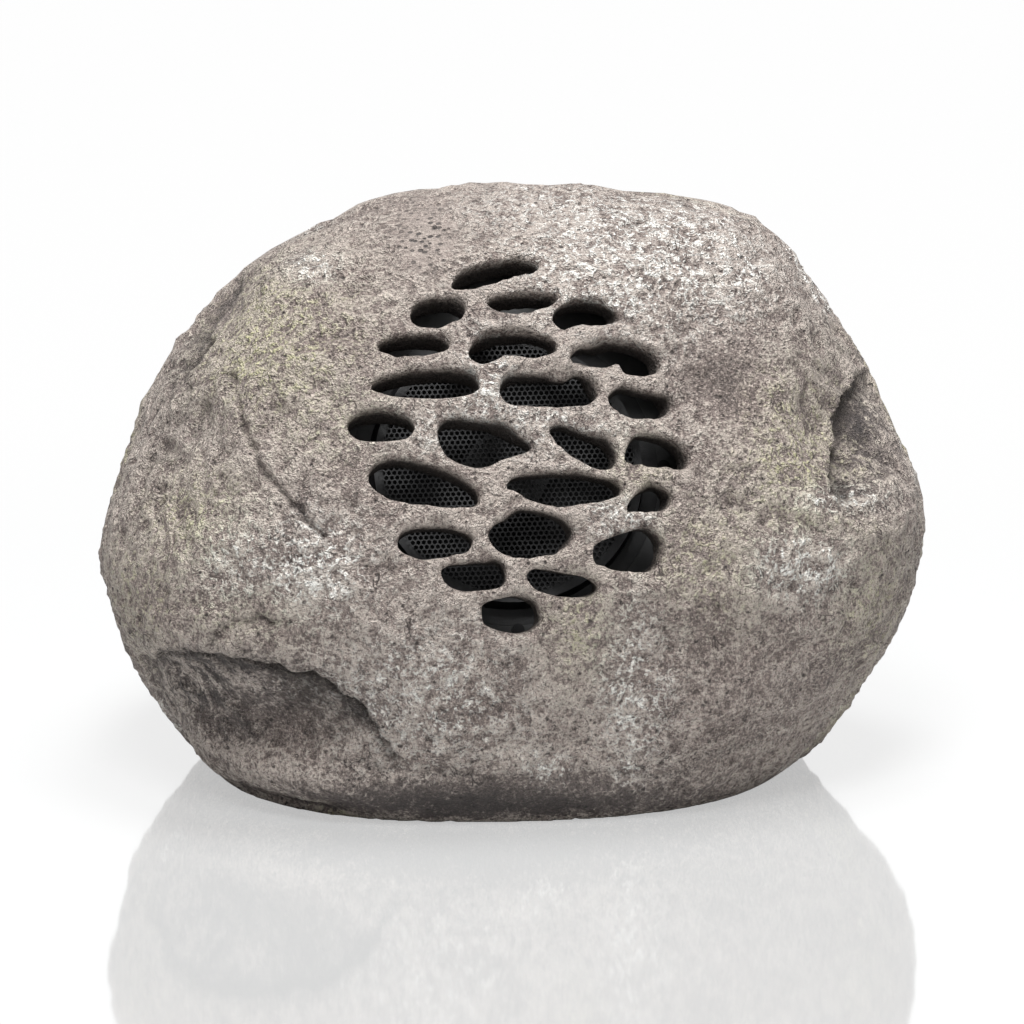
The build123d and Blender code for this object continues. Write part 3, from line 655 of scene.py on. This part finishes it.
def rock_paint():
    """Grey brown stone with pale flecks brushed over its wrinkles and dark paint left in its pores, with
    painted shade in its hollow, pocket, slots, along its foot and under its brows, and a painted highlight
    on the pocket's lip.
    """
    tree = Tree("rock_paint")
    clouds = tree.noise(0.050, 2, 0.6)
    patches = tree.noise(0.022, 3, 0.65)
    crumbs = tree.noise(0.0065, 4, 0.72)
    sand = tree.noise(0.0017, 2, 0.85)
    broken = tree.between(tree.noise(0.0038, 2, 0.8), 0.44, 0.60)
    threads = tree.times(tree.threads(0.0110, 0.075, 1.2), broken)
    hairs = tree.times(tree.threads(0.0060, 0.085, 0.8), broken)
    cracks = tree.threads(0.0240, 0.014, 2.0)
    pores = tree.between(tree.cells(0.0052), 0.24, 0.08)
    dots = tree.cells(0.0042)
    hollow = tree.share("hollow")
    rough = tree.between(tree.share("plain"), 1.15, 0.05)
    here = tree.between(patches, 0.40, 0.62)
    pits = tree.times(tree.share("pits"), tree.between(dots, 0.36, 0.24))
    cracks = tree.times(cracks, tree.between(patches, 0.48, 0.40))
    pores = tree.times(pores, tree.between(crumbs, 0.56, 0.44))
    threads = tree.times(threads, rough)
    hairs = tree.times(hairs, rough)
    sand = tree.times(sand, tree.total((rough, 0.35), (0.65, 1.0)))
    folds = tree.times(tree.threads(0.0300, 0.110, 1.6), rough)

    height = tree.total((crumbs, 0.58), (sand, 0.86), (threads, 0.22), (hairs, 0.16), (cracks, -0.25),
                        (pores, -0.30), (hollow, -0.18), (pits, -0.35), (folds, 0.25))
    color = tree.mix(tree.between(clouds, 0.35, 0.65), (0.190, 0.150, 0.135), (0.258, 0.211, 0.190))
    low = tree.times(tree.between(height, 0.66, 0.40), 0.82)
    color = tree.mix(low, color, (0.075, 0.059, 0.053))
    high = tree.times(tree.between(height, 0.62, 0.92), 0.70)
    color = tree.mix(high, color, (0.53, 0.465, 0.415))
    lines = tree.total((threads, 0.75), (hairs, 0.65))
    brush = tree.times(lines, here)
    color = tree.mix(tree.times(brush, 0.65), color, (0.66, 0.590, 0.530))
    green = tree.times(tree.share("green"), tree.total((lines, 0.85), (high, 0.30)))
    color = tree.mix(green, color, (0.52, 0.50, 0.29))
    # Pale dry brush, with a painted highlight on the lip of the pocket
    white = tree.times(tree.share("white"), tree.total((lines, 2.0), (high, 0.24)))
    color = tree.mix(white, color, (0.95, 0.93, 0.88))
    # Dark paint in cracks and pores, and painted shade along the drawn lines
    stain_and_shade = tree.total((cracks, 0.50), (pores, 0.75), (tree.share("line_shade"), 0.85))
    color = tree.mix(stain_and_shade, color, (0.036, 0.029, 0.027))
    specks = tree.noise(0.0014, 2, 0.8)
    dark_specks = tree.times(tree.between(specks, 0.48, 0.34), 0.70)
    color = tree.mix(dark_specks, color, (0.050, 0.040, 0.036))
    pale_specks = tree.times(tree.between(specks, 0.52, 0.66), 0.50)
    color = tree.mix(pale_specks, color, (0.68, 0.585, 0.515))
    # Painted shade on the front where the shade patches lie, and darker tone at random on the sides and back
    shade_and_tone = tree.times(tree.share("dark"), tree.between(height, 0.95, 0.58))
    color = tree.mix(tree.times(shade_and_tone, 0.92), color, (0.040, 0.034, 0.033))
    color = tree.mix(tree.times(tree.share("pits"), 0.5), color, (0.44, 0.38, 0.34))
    color = tree.mix(pits, color, (0.05, 0.042, 0.04))
    # Painted shade, deepening into the slots over the dark paint of their walls
    color = tree.mix(tree.times(tree.share("slot"), 0.95), color, (0.022, 0.016, 0.013))
    tree.bump(height, 0.0050)
    return tree.set(color=color, roughness=0.68, specular=0.4)


def finish(name, color, roughness, metallic=0.0, wave=0.004, depth=0.0001, vary=0.25):
    """A moulded, painted or plated finish with a grain and slight changes of tone."""
    tree = Tree(name)
    tone = tree.noise(12 * wave, 3)
    dull = tuple(channel * (1 - vary) for channel in color)
    bright = tuple(min(channel * (1 + vary), 1) for channel in color)
    tree.bump(tree.noise(wave, 3), depth)
    return tree.set(color=tree.mix(tree.between(tone, 0.3, 0.7), dull, bright),
                    roughness=roughness, metallic=metallic)


def dress(material, *names):
    for name in names:
        mesh = nodes[name].data
        mesh.materials.clear()
        mesh.materials.append(material)


# Guard: a dished sheet of fine hexagon mesh over the cone

guard_pitch = 0.0026
guard_strand = 0.0007
guard_sheet = 0.001
guard_radius = 0.0735
dish_radius = 0.065
dish_height = 0.009
dish_draft = math.radians(12)
guard_sides = 96
merge_gap = 0.0001

driver_axis = Vector(frame["joints"][0]["axis"]).normalized()
driver_across = Vector((0, 0, 1)).cross(driver_axis).normalized()
driver_up = driver_axis.cross(driver_across)


def axis_span(name):
    heights = mesh_points(nodes[name].data) @ np.array(driver_axis)
    return heights.min(), heights.max()


def axis_point():
    """The point of the driver's axis nearest to the frame's origin."""
    low = mesh_points(nodes["ring_magnet"].data)
    flat = np.array([low @ np.array(driver_across), low @ np.array(driver_up)])
    middle = (flat.min(axis=1) + flat.max(axis=1)) / 2
    return driver_across * middle[0] + driver_up * middle[1]


axis_base = axis_point()


def on_driver(x, y, height):
    return axis_base + driver_across * x + driver_up * y + driver_axis * height


def ring_points(work, turns, radius, height, x=0.0, y=0.0):
    """New points in a ring about the driver's axis, or about a place beside it."""
    spots = [(x + radius * math.cos(turn), y + radius * math.sin(turn)) for turn in turns]
    return [work.verts.new(on_driver(*spot, height)) for spot in spots]


def bridge(work, low, high):
    count = len(low)
    for i in range(count):
        work.faces.new((low[i], low[(i + 1) % count], high[(i + 1) % count], high[i]))


def fine_guard():
    back, front = axis_span("driver_guard")
    under = front - guard_sheet
    crown = dish_radius - dish_height * math.tan(dish_draft)
    step_y = guard_pitch * math.sqrt(3) / 2
    hole = (guard_pitch - guard_strand) / math.sqrt(3)
    cell = guard_pitch / math.sqrt(3)
    count = int(crown / step_y) + 1
    corners = [math.radians(60 * i + 30) for i in range(6)]
    work = bmesh.new()
    for row in range(-count, count + 1):
        for column in range(-count, count + 1):
            x = guard_pitch * (column + 0.5 * (row % 2))
            y = step_y * row
            if math.hypot(x, y) > crown - cell:
                continue
            sizes = [(cell, front), (hole, front), (hole, under), (cell, under)]
            rings = [ring_points(work, corners, radius, height, x, y) for radius, height in sizes]
            for low, high in zip(rings[:-1], rings[1:]):
                bridge(work, low, high)
    bmesh.ops.remove_doubles(work, verts=work.verts, dist=merge_gap)

    edge = crown - 2 * cell
    rim = back + guard_sheet
    profile = [
        (edge, front), (crown + guard_sheet, front), (dish_radius + guard_sheet, rim), (guard_radius, rim),
        (guard_radius, back), (dish_radius, back), (crown, under), (edge, under),
    ]
    turns = [2 * math.pi * i / guard_sides for i in range(guard_sides)]
    rings = [ring_points(work, turns, radius, height) for radius, height in profile]
    for low, high in zip(rings, rings[1:] + rings[:1]):
        bridge(work, low, high)
    bmesh.ops.recalc_face_normals(work, faces=work.faces)
    mesh = bpy.data.meshes.new("guard_mesh")
    work.to_mesh(mesh)
    work.free()
    return linked("guard_mesh", mesh)


# Surround and spider: copies of the soft rings in place of their parts


def soft_ring(name, node):
    piece = linked(name, nodes[node].data.copy())
    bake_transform(piece)
    points = mesh_points(piece.data) - np.array(axis_base)
    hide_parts(node)
    return piece


def put_material(obj, material):
    obj.data.materials.clear()
    obj.data.materials.append(material)


# Pieces and finishes

rock = rock_skin()
put_material(rock, rock_paint())
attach(rock, "enclosure")
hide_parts("rock_shell")

guard = fine_guard()
put_material(guard, finish("guard_coat", (0.016, 0.016, 0.017), 0.5, wave=0.0006))
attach(guard, "enclosure")
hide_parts("driver_guard")

rubber = finish("rubber", (0.030, 0.030, 0.030), 0.65, wave=0.0015)
put_material(soft_ring("surround_roll", "woofer_surround"), rubber)
weave = finish("spider_weave", (0.50, 0.40, 0.22), 0.9, wave=0.001)
put_material(soft_ring("spider_cloth", "spider"), weave)

dress(rubber, "base_seal", "gland_washer", "gland_seal", "driver_gasket")
dress(finish("base_moulding", (0.045, 0.045, 0.045), 0.55, wave=0.0012), "base_plate")
dress(finish("gland_moulding", (0.040, 0.040, 0.040), 0.45, wave=0.0012), "gland_body", "gland_nut",
      "gland_cap")
dress(finish("baffle_moulding", (0.055, 0.056, 0.056), 0.5, wave=0.0012), "baffle_ring")
dress(finish("plated_steel", (0.55, 0.55, 0.56), 0.32, 1.0, 0.001, 0.00003), "base_screws", "board_screws",
      "top_plate", "back_plate")
dress(finish("blackened_steel", (0.020, 0.020, 0.021), 0.45, 0.6, 0.001, 0.00003), "baffle_screws",
      "guard_screws", "driver_screws")
dress(finish("basket_coat", (0.035, 0.035, 0.035), 0.6, wave=0.001), "driver_basket")
dress(finish("cone_sheet", (0.020, 0.020, 0.021), 0.5, wave=0.003), "woofer_cone")
dress(finish("coil_former", (0.62, 0.42, 0.22), 0.35, 0.9, 0.0008), "voice_coil")
dress(finish("ferrite", (0.060, 0.060, 0.062), 0.75, wave=0.002), "ring_magnet")
dress(finish("tweeter_moulding", (0.035, 0.035, 0.036), 0.4, wave=0.0012), "tweeter_stem", "tweeter_housing")
dress(finish("dome_cloth", (0.030, 0.030, 0.030), 0.7, wave=0.0008), "tweeter_dome")
dress(finish("fibre_board", (0.30, 0.20, 0.09), 0.6, wave=0.0015), "tag_strip", "crossover_board")
dress(finish("tinned_brass", (0.72, 0.64, 0.42), 0.35, 1.0, 0.001, 0.00003), "solder_tags")
dress(finish("lead_sleeve", (0.25, 0.03, 0.03), 0.5, wave=0.002), "driver_leads")
dress(finish("copper_wire", (0.55, 0.25, 0.11), 0.35, 0.9, 0.0008), "crossover_inductor")
dress(finish("film_wrap", (0.45, 0.30, 0.06), 0.4, wave=0.002), "crossover_capacitor")
dress(finish("resistor_ceramic", (0.75, 0.73, 0.68), 0.8, wave=0.0015), "crossover_resistor")
dress(finish("terminal_moulding", (0.06, 0.18, 0.09), 0.45, wave=0.0015), "terminal_block")


# Stage: floor, light and camera

floor_half = 8
floor_corners = [(-1, -1), (1, -1), (1, 1), (-1, 1)]
floor_color = (0.56, 0.57, 0.57, 1)
floor_shine = 0.34
white = (1, 1, 1, 1)
world_light = 0.40

# Share of the floor's glow: two distances from the middle, and the share at each
glow_fade = {"From Min": 0.25, "From Max": 0.90, "To Min": 0.72, "To Max": 0.98}


def stage_node(tree, kind, inputs=None, **settings):
    node = tree.nodes.new(kind)
    for key, value in settings.items():
        setattr(node, key, value)
    for key, value in (inputs or {}).items():
        node.inputs[key].default_value = value
    return node


def floor():
    """A white gloss floor that shows the object's shadow and mirror image."""
    mesh = bpy.data.meshes.new("floor")
    mesh.from_pydata([(x * floor_half, y * floor_half, 0) for x, y in floor_corners], [], [(0, 1, 2, 3)])
    plane = linked("floor", mesh)
    material = bpy.data.materials.new("floor_gloss")
    material.use_nodes = True
    tree = material.node_tree
    tree.nodes.clear()
    diffuse = stage_node(tree, "ShaderNodeBsdfDiffuse", {"Color": floor_color})
    glow = stage_node(tree, "ShaderNodeEmission", {"Color": white, "Strength": 1})
    gloss = stage_node(tree, "ShaderNodeBsdfGlossy", {"Color": white, "Roughness": 0.06})
    place = stage_node(tree, "ShaderNodeTexCoord")
    distance = stage_node(tree, "ShaderNodeVectorMath", operation="LENGTH")
    fade = stage_node(tree, "ShaderNodeMapRange", glow_fade, interpolation_type="SMOOTHSTEP")
    path = stage_node(tree, "ShaderNodeLightPath")
    seen = stage_node(tree, "ShaderNodeMath", operation="MULTIPLY")
    pale = stage_node(tree, "ShaderNodeMixShader")
    shine = stage_node(tree, "ShaderNodeMixShader", {0: floor_shine})
    out = stage_node(tree, "ShaderNodeOutputMaterial")
    tree.links.new(place.outputs["Object"], distance.inputs[0])
    tree.links.new(distance.outputs["Value"], fade.inputs["Value"])
    tree.links.new(path.outputs["Is Camera Ray"], seen.inputs[0])
    tree.links.new(fade.outputs[0], seen.inputs[1])
    tree.links.new(seen.outputs[0], pale.inputs[0])
    tree.links.new(diffuse.outputs[0], pale.inputs[1])
    tree.links.new(glow.outputs[0], pale.inputs[2])
    tree.links.new(pale.outputs[0], shine.inputs[1])
    tree.links.new(gloss.outputs[0], shine.inputs[2])
    tree.links.new(shine.outputs[0], out.inputs[0])
    plane.data.materials.append(material)


def sky():
    """A white world to the camera and to shiny things, and a plain soft light to the rest."""
    world = bpy.data.worlds.new("studio")
    scene.world = world
    world.use_nodes = True
    tree = world.node_tree
    tree.nodes.clear()
    path = stage_node(tree, "ShaderNodeLightPath")
    seen = stage_node(tree, "ShaderNodeMath", operation="MAXIMUM")
    through = stage_node(tree, "ShaderNodeMath", operation="MAXIMUM")
    bright = stage_node(tree, "ShaderNodeBackground", {"Color": white})
    light = stage_node(tree, "ShaderNodeBackground", {"Strength": world_light})
    mix = stage_node(tree, "ShaderNodeMixShader")
    out = stage_node(tree, "ShaderNodeOutputWorld")
    tree.links.new(path.outputs["Is Camera Ray"], seen.inputs[0])
    tree.links.new(path.outputs["Is Glossy Ray"], seen.inputs[1])
    tree.links.new(seen.outputs[0], through.inputs[0])
    tree.links.new(path.outputs["Is Transmission Ray"], through.inputs[1])
    tree.links.new(through.outputs[0], mix.inputs[0])
    tree.links.new(light.outputs[0], mix.inputs[1])
    tree.links.new(bright.outputs[0], mix.inputs[2])
    tree.links.new(mix.outputs[0], out.inputs[0])


def lamp(name, place, target, size, power):
    data = bpy.data.lights.new(name, "AREA")
    data.shape = "DISK"
    data.size = size
    data.energy = power
    obj = linked(name, data)
    obj.location = place
    obj.rotation_euler = (Vector(target) - Vector(place)).to_track_quat("-Z", "Y").to_euler()


def camera():
    data = bpy.data.cameras.new("camera")
    data.sensor_width = sensor_width
    data.lens = focal / photo_size * sensor_width
    data.clip_end = 50
    obj = linked("camera", data)
    middle = photo_size / 2
    shift = view_right * (middle - aim_pixel[0]) + view_up * (aim_pixel[1] - middle)
    obj.location = Vector(camera_place + shift / pixels_per_metre)
    obj.rotation_euler = Vector(-view_out).to_track_quat("-Z", "Y").to_euler()
    scene.camera = obj


floor()
sky()
lamp("key_light", place=(-0.15, -1.1, 2.0), target=(0, 0, 0.1), size=0.8, power=43)
lamp("top_light", place=(0.2, 0.1, 2.0), target=(0, 0, 0.1), size=0.9, power=39)
camera()
scene.view_settings.view_transform = "Standard"
scene.cycles.diffuse_bounces = 2
scene.cycles.adaptive_threshold = 0.03
